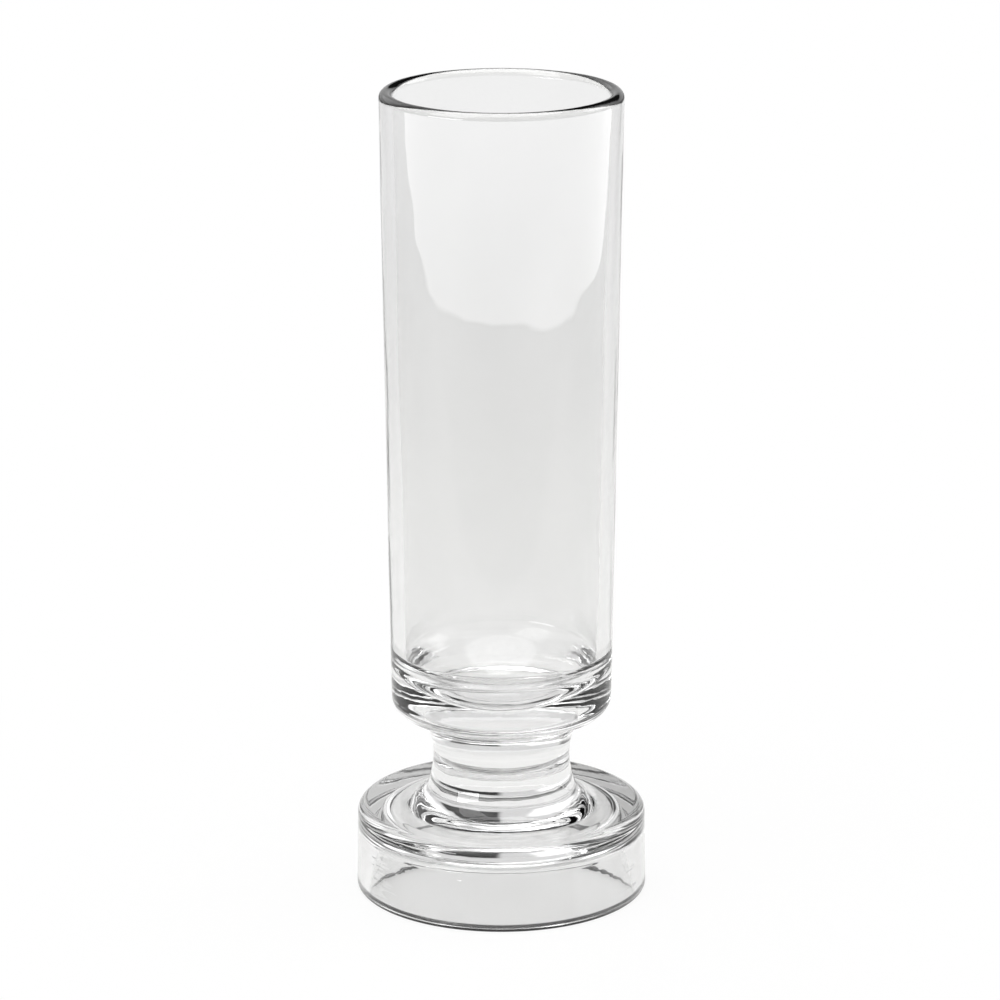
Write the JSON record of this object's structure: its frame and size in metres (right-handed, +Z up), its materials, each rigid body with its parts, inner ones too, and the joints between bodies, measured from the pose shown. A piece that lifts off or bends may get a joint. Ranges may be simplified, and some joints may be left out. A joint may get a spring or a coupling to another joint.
{
  "type": "glass vase",
  "caption": "Clear pressed-glass bud vase: a tall open vessel on a waisted solid stem and a wide foot that is hollow underneath.",
  "frame": {"origin": "on the vase's upright axis, in the plane of the ring that the foot stands on", "axes": "+Z up along the axis of revolution; +X and +Y are any two level directions, since the vase is round"},
  "size_m": [0.0716, 0.0716, 0.2],
  "materials": {
    "clear_glass": "fire-polished clear soda-lime glass, smooth with faint ripples from the mould"
  },
  "bodies": {
    "root": {"vessel": "clear_glass", "stem": "clear_glass", "foot": "clear_glass"}
  },
  "joints": []
}
